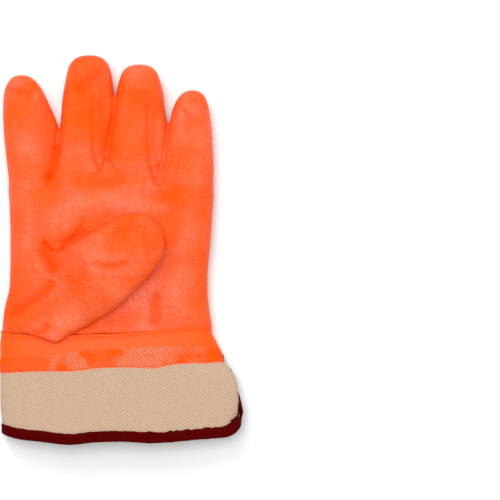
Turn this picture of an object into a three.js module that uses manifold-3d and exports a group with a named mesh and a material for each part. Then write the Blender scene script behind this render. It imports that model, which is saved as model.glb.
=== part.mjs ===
import * as THREE from 'three';
import { mergeVertices } from 'three/addons/utils/BufferGeometryUtils.js';
import Module from 'manifold-3d';

const wasm = await Module();
wasm.setup();

// A left hand PVC coated glove with a safety cuff, lying on its back, palm up.
// Millimetres. +Y points to the fingertips, +X to the little finger, +Z up.
// While it is modelled, y = 0 is the wrist seam and z = 0 the surface that it lies on.

// Hand
const PALM_WIDTH = 140;
const PALM_LENGTH = 108.5;
const PALM_THICKNESS = 27;
const FLAT_SINK = 1.4;
const SHELL_WALL = 2.8;

// Fingers
const KNUCKLE_WIDTH = 144;
const INDEX_LENGTH = 71.5;
const MIDDLE_LENGTH = 86;
const RING_LENGTH = 79;
const LITTLE_LENGTH = 61;
const FINGER_THICKNESS = 22;
const FINGER_GAP = 0.8;
const FINGER_ROOT_DEPTH = 16;
const FINGER_ROOT_INSET = 3.5;

// Thumb, folded over the palm
const THUMB_LENGTH = 108;
const THUMB_WIDTH = 56;
const THUMB_THICKNESS = 20.7;
const THUMB_ANGLE = 37.4;
const THUMB_CLEARANCE = 0.8;

// Cuff
const CUFF_LENGTH = 75.5;
const CUFF_FLARE = 26;
const CUFF_THICKNESS = 27;
const CANVAS_WALL = 1.6;
const SLIT_START = 17;
const BACK_PANEL_SHORTFALL = 8;
const PALM_CORNER_RADIUS = 12;
const BACK_CORNER_RADIUS = 24;

// Coated band over the top of the cuff, and the tape round the cuff's edges
const BAND_LENGTH = 23;
const BAND_DROP = 4;
const COAT_WALL = 1;
const WELT_HEIGHT = 0.7;
const WELT_LENGTH = 4;
const BINDING_WIDTH = 6.5;
const BINDING_START = 1.5;

// Gap left between two pieces that touch on the real glove
const PIECE_GAP = 0.3;

// Mesh density
const PALM_SIDES = 44;
const PALM_ROWS = 18;
const PALM_LINING_SIDES = 20;
const PALM_LINING_ROWS = 8;
const FINGER_SIDES = 16;
const FINGER_ROWS = 8;
const LINING_SIDES = 8;
const LINING_ROWS = 5;
const TIP_ROWS = 4;
const THUMB_SIDES = 20;
const THUMB_ROWS = 11;
const CUFF_SIDES = 44;
const CUFF_ROWS = 5;
const BAND_ROWS = 2;

// Palm sections from the wrist seam (0) to the finger crotches (1).
// left and right are shares of PALM_WIDTH, top is a share of PALM_THICKNESS.
const PALM_SECTIONS = [
  { along: 0.0, left: -0.550, right: 0.514, top: 0.84 },
  { along: 0.08, left: -0.548, right: 0.502, top: 0.88 },
  { along: 0.16, left: -0.540, right: 0.490, top: 0.90 },
  { along: 0.28, left: -0.516, right: 0.485, top: 0.92 },
  { along: 0.42, left: -0.505, right: 0.487, top: 0.94 },
  { along: 0.60, left: -0.503, right: 0.498, top: 1.00 },
  { along: 0.80, left: -0.506, right: 0.507, top: 0.98 },
  { along: 0.92, left: -0.511, right: 0.512, top: 0.90 },
  { along: 1.0, left: -0.513, right: 0.514, top: 0.80 },
];
const CAVITY_OVERRUN = 0.05;
const PALM_SIDE_HEIGHT = 0.42;
const PALM_CROWN_POWER = 0.72;
const PALM_FLOOR_POWER = 0.55;
// The palm draws in at its end, so that the fingers grow out of it without a step
const PALM_END_LENGTH = 10;
const PALM_END_DROP = 3;
// Share of the section's height over which a fold fades out towards its two sides
const FOLD_FADE = 0.5;

// Finger sections from the crotch line (0) to the start of the round tip.
// along is a share of that finger's length, left and right are shares of KNUCKLE_WIDTH.
const FINGERS = [
  {
    length: INDEX_LENGTH,
    sections: [
      { along: 0.0, left: -0.498, right: -0.286 },
      { along: 0.30, left: -0.512, right: -0.262 },
      { along: 0.60, left: -0.524, right: -0.272 },
      { along: 0.80, left: -0.519, right: -0.306 },
    ],
  },
  {
    length: MIDDLE_LENGTH,
    sections: [
      { along: 0.0, left: -0.286, right: -0.019 },
      { along: 0.25, left: -0.260, right: -0.012 },
      { along: 0.50, left: -0.248, right: 0.012 },
      { along: 0.66, left: -0.235, right: 0.019 },
      { along: 0.80, left: -0.218, right: 0.005 },
    ],
  },
  {
    length: RING_LENGTH,
    sections: [
      { along: 0.0, left: -0.019, right: 0.243 },
      { along: 0.28, left: -0.012, right: 0.267 },
      { along: 0.55, left: 0.012, right: 0.264 },
      { along: 0.70, left: 0.024, right: 0.256 },
      { along: 0.80, left: 0.029, right: 0.248 },
    ],
  },
  {
    length: LITTLE_LENGTH,
    sections: [
      { along: 0.0, left: 0.243, right: 0.500 },
      { along: 0.36, left: 0.267, right: 0.495 },
      { along: 0.63, left: 0.282, right: 0.488 },
      { along: 0.78, left: 0.294, right: 0.476 },
    ],
  },
];
const FINGER_TIP_THINNING = 0.12;
const FINGER_TIP_LIFT = 0.1;
const FINGER_FULLNESS = 0.82;
const TIP_END_SHARE = 0.02;

// Thumb sections from inside the ball of the thumb (0) to the tip (1).
// width is a share of THUMB_WIDTH, thick of THUMB_THICKNESS. free is 0 where the
// section lies in the palm and 1 where it lies loose on top of it. roll is how far the
// side near the wrist rises and the side near the fingers sinks, of THUMB_THICKNESS.
const THUMB_ROOT = { x: -0.38, y: 0.085 };
const THUMB_SECTIONS = [
  { along: 0.0, width: 0.72, thick: 0.61, free: 0.0, roll: 0.17 },
  { along: 0.16, width: 0.91, thick: 0.91, free: 0.10, roll: 0.28 },
  { along: 0.30, width: 1.0, thick: 1.0, free: 0.42, roll: 0.23 },
  { along: 0.44, width: 1.0, thick: 0.91, free: 0.92, roll: 0.09 },
  { along: 0.56, width: 0.94, thick: 0.87, free: 1.0, roll: 0.0 },
  { along: 0.70, width: 0.87, thick: 0.85, free: 1.0, roll: 0.0 },
  { along: 0.80, width: 0.77, thick: 0.82, free: 1.0, roll: 0.0 },
];
const THUMB_ROOT_HEIGHT = 0.5;
const THUMB_FULLNESS = 0.8;
const THUMB_LINING_START = 0.17;
const UNDER_THUMB_SAMPLES = 8;
const UNDER_THUMB_REACH = 0.8;

// Folds and dents. x and reach are shares of PALM_WIDTH, y is a share of PALM_LENGTH,
// depth is a share of PALM_THICKNESS. They press into the palm face or the back face.
const FOLDS = [
  { face: 'palm', x1: -0.30, y1: 1.0, x2: -0.27, y2: 0.90, reach: 0.063, depth: 0.13 },
  { face: 'palm', x1: -0.03, y1: 1.0, x2: -0.04, y2: 0.91, reach: 0.063, depth: 0.15 },
  { face: 'palm', x1: 0.25, y1: 1.0, x2: 0.24, y2: 0.88, reach: 0.063, depth: 0.13 },
  { face: 'palm', x1: -0.36, y1: 0.58, x2: -0.24, y2: 0.58, reach: 0.090, depth: 0.14 },
  { face: 'palm', x1: -0.15, y1: 0.42, x2: 0.15, y2: 0.60, reach: 0.396, depth: 0.12 },
  { face: 'palm', x1: -0.48, y1: 0.14, x2: -0.34, y2: 0.30, reach: 0.054, depth: 0.08 },
  { face: 'palm', x1: 0.28, y1: 0.10, x2: 0.46, y2: 0.16, reach: 0.072, depth: 0.06 },
  { face: 'back', x1: 0.31, y1: 1.0, x2: 0.33, y2: 0.05, reach: 0.045, depth: 0.07 },
  { face: 'back', x1: 0.10, y1: 1.0, x2: 0.12, y2: 0.05, reach: 0.045, depth: 0.07 },
  { face: 'back', x1: -0.17, y1: 1.0, x2: -0.17, y2: 0.05, reach: 0.045, depth: 0.07 },
  { face: 'back', x1: 0.02, y1: 0.94, x2: -0.14, y2: 0.50, reach: 0.072, depth: 0.11 },
  { face: 'back', x1: 0.50, y1: 0.84, x2: 0.40, y2: 0.54, reach: 0.060, depth: 0.07 },
  { face: 'back', x1: -0.34, y1: 0.42, x2: -0.22, y2: 0.14, reach: 0.090, depth: 0.09 },
];

// Cuff sections from the wrist seam (0) to the hem (1). left, palmEdge and backEdge are
// measured out from the wrist's own sides. tuck is how far the palm panel's free edge is
// turned back under. All are shares of CUFF_FLARE.
const CUFF_SECTIONS = [
  { along: 0.0, left: 0.0, palmEdge: 0.0, backEdge: 0.0, tuck: 0.0 },
  { along: 0.12, left: 0.03, palmEdge: 0.13, backEdge: 0.13, tuck: 0.0 },
  { along: 0.23, left: 0.03, palmEdge: 0.31, backEdge: 0.28, tuck: 0.03 },
  { along: 0.28, left: 0.03, palmEdge: 0.50, backEdge: 0.27, tuck: 0.18 },
  { along: 0.34, left: 0.03, palmEdge: 0.70, backEdge: 0.25, tuck: 0.34 },
  { along: 0.45, left: 0.03, palmEdge: 0.87, backEdge: 0.22, tuck: 0.45 },
  { along: 0.57, left: 0.03, palmEdge: 0.92, backEdge: 0.20, tuck: 0.42 },
  { along: 0.68, left: 0.03, palmEdge: 0.91, backEdge: 0.18, tuck: 0.28 },
  { along: 0.82, left: 0.02, palmEdge: 0.84, backEdge: 0.16, tuck: 0.13 },
  { along: 1.0, left: -0.02, palmEdge: 0.76, backEdge: 0.14, tuck: 0.0 },
];
const TUCK_REACH = 0.6;
const CUFF_FOLD_HEIGHT = 0.42;
const PALM_EDGE_HEIGHT = 0.46;
const SLIT_OPENING_LENGTH = 16;
const EDGE_FLATTENING = 3;
const BACK_EDGE_POWER = 2;
const HEM_TURN_START = 0.85 * Math.PI;
const HEM_TURN_END = 1.25 * Math.PI;

// Offset from the canvas' middle surface to the outside of the coat or the tape
const COVERED = CANVAS_WALL / 2 + PIECE_GAP + COAT_WALL;

const ORANGE = new THREE.MeshStandardMaterial({ color: 0xff5f1f, roughness: 0.5, metalness: 0 });
const ORANGE_GLOSS = new THREE.MeshStandardMaterial({ color: 0xff5510, roughness: 0.2, metalness: 0 });
const CANVAS = new THREE.MeshStandardMaterial({ color: 0xd5b69b, roughness: 0.9, metalness: 0 });
const TAPE = new THREE.MeshStandardMaterial({ color: 0x570606, roughness: 0.8, metalness: 0 });

const FULL_TURN = 2 * Math.PI;
const WELD_DISTANCE = 1e-4;
const SLIVER_SIZE = 0.02;
const NORMAL_TURN = 0.09;
const NORMAL_STEP = 0.02;

// Reads one column of a section table at any place along it, on a smooth curve
function columnReader(table, column) {
  const places = table.map((row) => row.along);
  const values = table.map((row) => row[column]);
  const curve = new THREE.CubicInterpolant(places, values, 1);
  const last = places[places.length - 1];
  return (along) => curve.evaluate(THREE.MathUtils.clamp(along, places[0], last))[0];
}

function readers(table) {
  const columns = Object.keys(table[0]).filter((name) => name !== 'along');
  return Object.fromEntries(columns.map((name) => [name, columnReader(table, name)]));
}

// Closed body from rings of points, with a flat or pointed end at each side
function loft(rings) {
  const sides = rings[0].length;
  const positions = rings.flat().flatMap((point) => point.toArray());
  const faces = [];
  for (let row = 0; row + 1 < rings.length; row += 1) {
    for (let side = 0; side < sides; side += 1) {
      const a = row * sides + side;
      const b = row * sides + ((side + 1) % sides);
      faces.push(a, b, b + sides, a, b + sides, a + sides);
    }
  }
  for (const [ring, start] of [[rings[0], 0], [rings.at(-1), (rings.length - 1) * sides]]) {
    const centre = ring.reduce((sum, point) => sum.add(point), new THREE.Vector3()).divideScalar(sides);
    const middle = positions.length / 3;
    positions.push(...centre.toArray());
    for (let side = 0; side < sides; side += 1) {
      const a = start + side;
      const b = start + ((side + 1) % sides);
      faces.push(...(start === 0 ? [b, a, middle] : [a, b, middle]));
    }
  }
  return closedGeometry(positions, faces);
}

function closedGeometry(positions, faces) {
  const geometry = new THREE.BufferGeometry();
  geometry.setAttribute('position', new THREE.Float32BufferAttribute(positions, 3));
  geometry.setIndex(faces);
  return geometry;
}

function signedVolume(points, faces) {
  const a = new THREE.Vector3();
  const b = new THREE.Vector3();
  const c = new THREE.Vector3();
  let volume = 0;
  for (let i = 0; i < faces.length; i += 3) {
    a.fromArray(points, faces[i] * 3);
    b.fromArray(points, faces[i + 1] * 3);
    c.fromArray(points, faces[i + 2] * 3);
    volume += a.dot(b.cross(c)) / 6;
  }
  return volume;
}

// Solid with its faces turned outwards
function toSolid(geometry) {
  const merged = mergeVertices(geometry, WELD_DISTANCE);
  const index = merged.getIndex().array;
  const faces = [];
  for (let i = 0; i < index.length; i += 3) {
    const [a, b, c] = [index[i], index[i + 1], index[i + 2]];
    if (a !== b && b !== c && c !== a) {
      faces.push(a, b, c);
    }
  }
  const points = merged.getAttribute('position').array;
  if (signedVolume(points, faces) < 0) {
    faces.reverse();
  }
  return new wasm.Manifold(new wasm.Mesh({
    numProp: 3,
    vertProperties: new Float32Array(points),
    triVerts: new Uint32Array(faces),
  }));
}

function toMesh(solid, name, material) {
  const data = solid.getMesh();
  const geometry = closedGeometry(data.vertProperties, Array.from(data.triVerts));
  geometry.computeVertexNormals();
  const mesh = new THREE.Mesh(geometry, material);
  mesh.name = name;
  return mesh;
}

const unite = (solids) => solids.reduce((all, solid) => all.add(solid));

// Drops the slivers that a cut can leave beside the main body, and those on its surface
function mainBody(solid) {
  const largest = solid.decompose().reduce((a, b) => (a.volume() > b.volume() ? a : b));
  return largest.simplify(SLIVER_SIZE);
}

function steps(count, from, to) {
  return Array.from({ length: count + 1 }, (unused, i) => from + ((to - from) * i) / count);
}

function distanceToSegment(x, y, x1, y1, x2, y2) {
  const dx = x2 - x1;
  const dy = y2 - y1;
  const share = ((x - x1) * dx + (y - y1) * dy) / (dx * dx + dy * dy);
  const t = THREE.MathUtils.clamp(share, 0, 1);
  return Math.hypot(x - x1 - t * dx, y - y1 - t * dy);
}

// How far the folds press one face in at a point
function foldDepth(face, x, y) {
  let depth = 0;
  for (const fold of FOLDS) {
    if (fold.face === face) {
      const distance = distanceToSegment(
        x, y,
        fold.x1 * PALM_WIDTH, fold.y1 * PALM_LENGTH,
        fold.x2 * PALM_WIDTH, fold.y2 * PALM_LENGTH,
      );
      const ratio = Math.min(1, distance / (fold.reach * PALM_WIDTH));
      depth += fold.depth * PALM_THICKNESS * (1 - ratio * ratio) ** 2;
    }
  }
  return depth;
}

const palm = readers(PALM_SECTIONS);

// Point of the palm's outside, or of a face inset from it. angle 0 is the little finger
// side, a quarter turn the palm face, a half turn the thumb side.
function palmPoint(angle, along, inset) {
  const drop = PALM_END_DROP * Math.max(0, 1 - ((1 - along) * PALM_LENGTH) / PALM_END_LENGTH) ** 2;
  const left = palm.left(along) * PALM_WIDTH + inset + drop;
  const right = palm.right(along) * PALM_WIDTH - inset - drop;
  const top = palm.top(along) * PALM_THICKNESS - inset - drop;
  const side = PALM_SIDE_HEIGHT * palm.top(along) * PALM_THICKNESS;
  const y = along * PALM_LENGTH;
  const x = (left + right) / 2 + ((right - left) / 2) * Math.cos(angle);
  const lift = Math.sin(angle);
  const foldShare = Math.min(1, Math.abs(lift) / FOLD_FADE);
  if (lift >= 0) {
    const crown = side + (top - side) * lift ** PALM_CROWN_POWER;
    return new THREE.Vector3(x, y, crown - foldDepth('palm', x, y) * foldShare);
  }
  const sunk = side - (side - inset + FLAT_SINK) * Math.abs(lift) ** PALM_FLOOR_POWER;
  return new THREE.Vector3(x, y, Math.max(inset, sunk) + drop + foldDepth('back', x, y) * foldShare);
}

function palmHeight(x, y) {
  const along = y / PALM_LENGTH;
  const left = palm.left(along) * PALM_WIDTH;
  const right = palm.right(along) * PALM_WIDTH;
  const cosine = (2 * (x - left)) / (right - left) - 1;
  if (Math.abs(cosine) > 1) {
    return 0;
  }
  return palmPoint(Math.acos(cosine), along, 0).z;
}

function palmBody(inset, sides, rows, from, to) {
  const angles = steps(sides, 0, FULL_TURN).slice(0, -1);
  const rings = steps(rows, from, to).map((along) => angles.map((angle) => palmPoint(angle, along, inset)));
  return toSolid(loft(rings));
}

// Rows along a finger or thumb: even ones up to the tip, then closer ones round it
function digitRows(bodyRows, start, tipStart) {
  const body = steps(bodyRows, start, tipStart).map((along) => ({ along, round: 1 }));
  const tip = steps(TIP_ROWS, 0, Math.PI / 2).slice(1).map((angle) => ({
    along: tipStart + (1 - tipStart) * Math.sin(angle),
    round: Math.max(Math.cos(angle), TIP_END_SHARE),
  }));
  return [...body, ...tip];
}

const power = (value, exponent) => Math.sign(value) * Math.abs(value) ** exponent;

function fingerBody(finger, inset, sides, rows) {
  const at = readers(finger.sections);
  const tipStart = finger.sections.at(-1).along;
  const length = finger.length - inset;
  const start = -FINGER_ROOT_DEPTH / finger.length;
  const angles = steps(sides, 0, FULL_TURN).slice(0, -1);
  return toSolid(loft(digitRows(rows, start, tipStart).map(({ along, round }) => {
    const share = Math.max(along, 0);
    const sunk = FINGER_ROOT_INSET * (Math.min(along, 0) / start);
    const left = at.left(along) * KNUCKLE_WIDTH + FINGER_GAP / 2 + inset + sunk;
    const right = at.right(along) * KNUCKLE_WIDTH - FINGER_GAP / 2 - inset - sunk;
    const half = (FINGER_THICKNESS / 2) * (1 - FINGER_TIP_THINNING * share * share) - inset - sunk;
    const middle = FINGER_THICKNESS / 2 + FINGER_TIP_LIFT * FINGER_THICKNESS * share * share;
    return angles.map((angle) => new THREE.Vector3(
      (left + right) / 2 + ((right - left) / 2) * round * power(Math.cos(angle), FINGER_FULLNESS),
      PALM_LENGTH + along * length,
      middle + half * round * power(Math.sin(angle), FINGER_FULLNESS),
    ));
  })));
}

const thumb = readers(THUMB_SECTIONS);

// Height of the highest palm surface below one cross line of the thumb
function palmUnderThumb(centre, across, halfWidth) {
  const heights = steps(UNDER_THUMB_SAMPLES, -1, 1).map((share) => {
    const point = centre.clone().addScaledVector(across, share * halfWidth * UNDER_THUMB_REACH);
    return palmHeight(point.x, point.y);
  });
  return Math.max(...heights);
}

function thumbBody(inset, sides, rows, start) {
  const angle = THREE.MathUtils.degToRad(THUMB_ANGLE);
  const axis = new THREE.Vector3(Math.cos(angle), Math.sin(angle), 0);
  const across = new THREE.Vector3(Math.sin(angle), -Math.cos(angle), 0);
  const root = new THREE.Vector3(THUMB_ROOT.x * PALM_WIDTH, THUMB_ROOT.y * PALM_LENGTH, 0);
  const tipStart = THUMB_SECTIONS.at(-1).along;
  const angles = steps(sides, 0, FULL_TURN).slice(0, -1);
  return toSolid(loft(digitRows(rows, start, tipStart).map(({ along, round }) => {
    const centre = root.clone().addScaledVector(axis, along * (THUMB_LENGTH - inset));
    const halfWidth = (thumb.width(along) * THUMB_WIDTH) / 2;
    const halfThick = (thumb.thick(along) * THUMB_THICKNESS) / 2;
    const free = THREE.MathUtils.clamp(thumb.free(along), 0, 1);
    const resting = palmUnderThumb(centre, across, halfWidth) + THUMB_CLEARANCE + halfThick;
    const height = THREE.MathUtils.lerp(THUMB_ROOT_HEIGHT * PALM_THICKNESS, resting, free);
    return angles.map((turn) => centre.clone()
      .addScaledVector(across, (halfWidth - inset) * round * power(Math.cos(turn), THUMB_FULLNESS))
      .setZ(
        height
        + (halfThick - inset) * round * power(Math.sin(turn), THUMB_FULLNESS)
        + thumb.roll(along) * THUMB_THICKNESS * Math.cos(turn),
      ));
  })));
}

const cuff = readers(CUFF_SECTIONS);

// How far the slit has opened at a distance below the wrist seam, from 0 to 1
function slitOpening(distance) {
  return THREE.MathUtils.smoothstep(distance, SLIT_START, SLIT_START + SLIT_OPENING_LENGTH);
}

// Middle surface of the cuff's canvas. angle 0 is the palm panel's free edge, a half turn
// the fold on the thumb side, and a full turn the back panel's free edge.
function cuffMiddle(angle, distance) {
  const along = distance / CUFF_LENGTH;
  const opening = slitOpening(distance);
  const onPalm = angle < Math.PI;
  const edge = onPalm ? cuff.palmEdge(along) : cuff.backEdge(along);
  const shut = cuff.backEdge(along);
  const flare = distance > SLIT_START ? edge : shut;
  const left = palm.left(0) * PALM_WIDTH - cuff.left(along) * CUFF_FLARE + COVERED;
  const right = palm.right(0) * PALM_WIDTH + flare * CUFF_FLARE - COVERED;
  const crown = THREE.MathUtils.lerp(palm.top(0) * PALM_THICKNESS, CUFF_THICKNESS, along) - COVERED;
  const fold = CUFF_FOLD_HEIGHT * crown;
  const palmEdge = THREE.MathUtils.lerp(fold, PALM_EDGE_HEIGHT * crown, opening);
  const backEdge = THREE.MathUtils.lerp(fold, COVERED + PIECE_GAP, opening);
  const cosine = Math.cos(angle);
  const lift = Math.abs(Math.sin(angle));
  const onSlitSide = cosine > 0;
  const side = onSlitSide ? (onPalm ? palmEdge : backEdge) : fold;
  const x = (left + right) / 2 + ((right - left) / 2) * cosine;
  if (onPalm) {
    const tuck = distance > SLIT_START ? cuff.tuck(along) * CUFF_FLARE : 0;
    const turned = tuck * Math.max(0, 1 - angle / TUCK_REACH) ** 2;
    return new THREE.Vector3(x - turned, -distance, side + (crown - side) * lift ** PALM_CROWN_POWER);
  }
  const openShape = onSlitSide ? Math.min(1, opening * EDGE_FLATTENING) : 0;
  const fall = lift ** THREE.MathUtils.lerp(PALM_FLOOR_POWER, BACK_EDGE_POWER, openShape);
  return new THREE.Vector3(x, -distance, Math.max(COVERED, side - (side - COVERED + FLAT_SINK) * fall));
}

// Rounds the free corners of both panels, and makes the back panel shorter
function hemDistance(angle) {
  const onPalm = angle < Math.PI;
  const radius = onPalm ? PALM_CORNER_RADIUS : BACK_CORNER_RADIUS;
  const backShare = THREE.MathUtils.smoothstep(angle, HEM_TURN_START, HEM_TURN_END);
  const full = CUFF_LENGTH - BACK_PANEL_SHORTFALL * backShare;
  const width = PALM_WIDTH + CUFF_FLARE;
  const fromEdge = ((1 - Math.cos(angle)) / 2) * width;
  if (Math.cos(angle) < 0 || fromEdge >= radius) {
    return full;
  }
  const inset = radius - fromEdge;
  return full - (radius - Math.sqrt(radius * radius - inset * inset));
}

function cuffNormal(angle, distance) {
  const isOpen = distance > SLIT_START;
  const before = isOpen ? Math.max(angle - NORMAL_TURN, 0) : (angle - NORMAL_TURN + FULL_TURN) % FULL_TURN;
  const after = isOpen ? Math.min(angle + NORMAL_TURN, FULL_TURN) : (angle + NORMAL_TURN) % FULL_TURN;
  const around = cuffMiddle(after, distance).sub(cuffMiddle(before, distance));
  const down = cuffMiddle(angle, distance + NORMAL_STEP).sub(cuffMiddle(angle, distance - NORMAL_STEP));
  return around.cross(down).setY(0).normalize();
}

// Grid of rows down the cuff; rows past the slit's start are open at both free edges
function cuffGrid(rowsAt) {
  const angles = steps(CUFF_SIDES, 0, FULL_TURN);
  return rowsAt.map((rowAt) => angles.map((angle) => {
    const distance = rowAt(angle);
    const shut = distance <= SLIT_START;
    const turn = shut && angle === FULL_TURN ? 0 : angle;
    return { point: cuffMiddle(turn, distance), normal: cuffNormal(turn, distance), shut };
  }));
}

// Closed wall between two offsets of the cuff's middle surface
function cuffWall(grid, inner, outer, growth, seamRise = 0) {
  const positions = [];
  const faces = [];
  const columns = grid[0].length;
  const lastRow = grid.length - 1;
  const shift = (row, column) => {
    const cell = grid[row][column];
    const move = new THREE.Vector3();
    if (growth > 0 && row === lastRow) {
      move.add(cell.point.clone().sub(grid[row - 1][column].point).setLength(growth));
    }
    if (growth > 0 && !cell.shut && (column === 0 || column === columns - 1)) {
      const neighbour = grid[row][column === 0 ? 1 : columns - 2];
      move.add(cell.point.clone().sub(neighbour.point).setLength(growth));
    }
    return move;
  };
  for (const [offset, firstRise] of [[outer, seamRise], [inner, 0]]) {
    grid.forEach((cells, row) => cells.forEach((cell, column) => {
      const rise = row === 0 ? firstRise : 0;
      const point = cell.point.clone().addScaledVector(cell.normal, offset + rise).add(shift(row, column));
      positions.push(point.x, point.y, Math.max(point.z, 0));
    }));
  }
  const innerStart = grid.length * columns;
  const quad = (a, b, c, d) => faces.push(a, b, c, a, c, d);
  for (let row = 0; row < lastRow; row += 1) {
    for (let column = 0; column + 1 < columns; column += 1) {
      const a = row * columns + column;
      quad(a, a + 1, a + 1 + columns, a + columns);
      quad(innerStart + a, innerStart + a + columns, innerStart + a + 1 + columns, innerStart + a + 1);
    }
    const isOpen = !grid[row + 1][0].shut;
    if (isOpen) {
      for (const [column, turn] of [[0, 1], [columns - 1, -1]]) {
        const a = row * columns + column;
        const rim = [a, a + columns, innerStart + a + columns, innerStart + a];
        quad(...(turn > 0 ? rim : rim.reverse()));
      }
    }
  }
  for (const [row, turn] of [[0, 1], [lastRow, -1]]) {
    for (let column = 0; column + 1 < columns; column += 1) {
      const a = row * columns + column;
      const rim = [a, innerStart + a, innerStart + a + 1, a + 1];
      quad(...(turn > 0 ? rim : rim.reverse()));
    }
  }
  return toSolid(closedGeometry(positions, faces));
}

// Filled body inside an offset of the cuff's middle surface
function cuffEnvelope(grid, offset, seamRise) {
  const rings = grid.map((cells, row) => {
    const growth = offset + (row === 0 ? seamRise : 0);
    return cells.map((cell) => cell.point.clone().addScaledVector(cell.normal, growth));
  });
  return toSolid(loft(rings));
}

// Lowest reach of the coat, a wavy line that sinks towards the thumb side
function dipLine(angle) {
  const fromFold = (1 - Math.cos(angle)) / 2;
  return BAND_LENGTH + BAND_DROP * fromFold * fromFold;
}

// Rows of the coated band: one at the seam, one where the slit starts, the last at the dip line
function bandRows() {
  const levels = [PIECE_GAP / 2, ...steps(BAND_ROWS, WELT_LENGTH, SLIT_START)];
  const above = levels.map((distance) => () => distance);
  const below = steps(BAND_ROWS, 0, 1).slice(1).map((share) => (angle) => (
    THREE.MathUtils.lerp(SLIT_START, dipLine(angle), share)
  ));
  return [...above, ...below];
}

// Rows of the whole cuff: those of the band, and more down to the hem
function canvasRows() {
  const below = steps(CUFF_ROWS, 0, 1).slice(1).map((share) => (angle) => (
    THREE.MathUtils.lerp(dipLine(angle), hemDistance(angle), share)
  ));
  return [...bandRows(), ...below];
}

// Rows along the free edges that the tape runs round, from just below the coat to the hem
function tapeRows() {
  return [(angle) => dipLine(angle) + BINDING_START, ...canvasRows().slice(bandRows().length)];
}

// Corners of the tape's outer section at one point of the cuff's edge
function tapeSection(cell, along) {
  const inward = along.clone().cross(cell.normal).normalize();
  const outer = cell.point.clone().addScaledVector(inward, -(PIECE_GAP + COAT_WALL));
  const inner = cell.point.clone().addScaledVector(inward, BINDING_WIDTH);
  const corners = [
    outer.clone().addScaledVector(cell.normal, COVERED),
    inner.clone().addScaledVector(cell.normal, COVERED),
    inner.clone().addScaledVector(cell.normal, -COVERED),
    outer.clone().addScaledVector(cell.normal, -COVERED),
  ];
  return corners.map((corner) => corner.setZ(Math.max(corner.z, 0)));
}

// Tape round the edge: down the palm panel's free edge, round the hem, up the back panel's
function bindingBody(grid) {
  const edge = [
    ...grid.slice(0, -1).map((cells) => cells[0]),
    ...grid.at(-1),
    ...grid.slice(0, -1).map((cells) => cells.at(-1)).reverse(),
  ];
  const sections = edge.map((cell, i) => {
    const before = edge[Math.max(i - 1, 0)].point;
    const after = edge[Math.min(i + 1, edge.length - 1)].point;
    return tapeSection(cell, after.clone().sub(before).normalize());
  });
  return toSolid(loft(sections));
}

const outside = unite([
  palmBody(0, PALM_SIDES, PALM_ROWS, PIECE_GAP / 2 / PALM_LENGTH, 1),
  ...FINGERS.map((finger) => fingerBody(finger, 0, FINGER_SIDES, FINGER_ROWS)),
  thumbBody(0, THUMB_SIDES, THUMB_ROWS, 0),
]);
const inside = unite([
  palmBody(SHELL_WALL, PALM_LINING_SIDES, PALM_LINING_ROWS, -CAVITY_OVERRUN, 1 - SHELL_WALL / PALM_LENGTH),
  ...FINGERS.map((finger) => fingerBody(finger, SHELL_WALL, LINING_SIDES, LINING_ROWS)),
  thumbBody(SHELL_WALL, LINING_SIDES, LINING_ROWS, THUMB_LINING_START),
]);

const canvasGrid = cuffGrid(canvasRows());
const bandGrid = cuffGrid(bandRows());
const canvas = cuffWall(canvasGrid, -CANVAS_WALL / 2, CANVAS_WALL / 2, 0);
const canvasRoom = unite([0, PIECE_GAP].map((growth) => (
  cuffWall(canvasGrid, -CANVAS_WALL / 2 - PIECE_GAP, CANVAS_WALL / 2 + PIECE_GAP, growth)
)));
const band = cuffWall(bandGrid, CANVAS_WALL / 2 + PIECE_GAP, COVERED, 0, WELT_HEIGHT);
const bandRoom = cuffEnvelope(bandGrid, COVERED + PIECE_GAP, WELT_HEIGHT);

const glove = new THREE.Group();
glove.add(
  toMesh(mainBody(outside.subtract(inside).subtract(bandRoom)), 'hand_shell', ORANGE),
  toMesh(band, 'coated_band', ORANGE_GLOSS),
  toMesh(canvas, 'cuff_canvas', CANVAS),
  toMesh(mainBody(bindingBody(cuffGrid(tapeRows())).subtract(canvasRoom)), 'cuff_binding', TAPE),
);

// The origin is the middle of the glove's outline, on the surface that it lies on
const extent = new THREE.Box3().setFromObject(glove);
const middle = extent.getCenter(new THREE.Vector3());
glove.position.set(-middle.x, -middle.y, -extent.min.z);

export default glove;
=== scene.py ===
"""A left hand PVC coated work glove with a canvas safety cuff, lying on its back, palm up."""

import math

import bpy
import numpy as np
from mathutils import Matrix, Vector


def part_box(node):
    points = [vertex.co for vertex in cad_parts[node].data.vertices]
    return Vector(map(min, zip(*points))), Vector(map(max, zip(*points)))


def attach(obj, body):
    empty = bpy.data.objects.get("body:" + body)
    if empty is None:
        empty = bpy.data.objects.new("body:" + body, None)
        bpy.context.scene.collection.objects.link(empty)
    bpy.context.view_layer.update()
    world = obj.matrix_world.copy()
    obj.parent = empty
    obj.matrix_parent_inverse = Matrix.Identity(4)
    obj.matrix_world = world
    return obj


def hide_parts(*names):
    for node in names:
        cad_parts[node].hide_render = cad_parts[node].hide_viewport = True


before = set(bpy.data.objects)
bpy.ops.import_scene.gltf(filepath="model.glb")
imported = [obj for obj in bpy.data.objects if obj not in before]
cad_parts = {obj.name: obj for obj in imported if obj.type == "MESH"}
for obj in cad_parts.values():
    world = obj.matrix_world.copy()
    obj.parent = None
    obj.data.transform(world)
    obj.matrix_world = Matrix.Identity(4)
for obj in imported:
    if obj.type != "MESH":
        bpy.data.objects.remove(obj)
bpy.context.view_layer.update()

# The glove is shaped in millimetres: +Y to the fingertips, +X to the little finger, +Z up,
# y = 0 at the wrist seam. The hand's own box says how far that is from the frame's origin.
MM = 0.001
HAND_LEFT = -77.0
HAND_TIP = 194.5
hand_low, hand_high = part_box("hand_shell")
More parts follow.
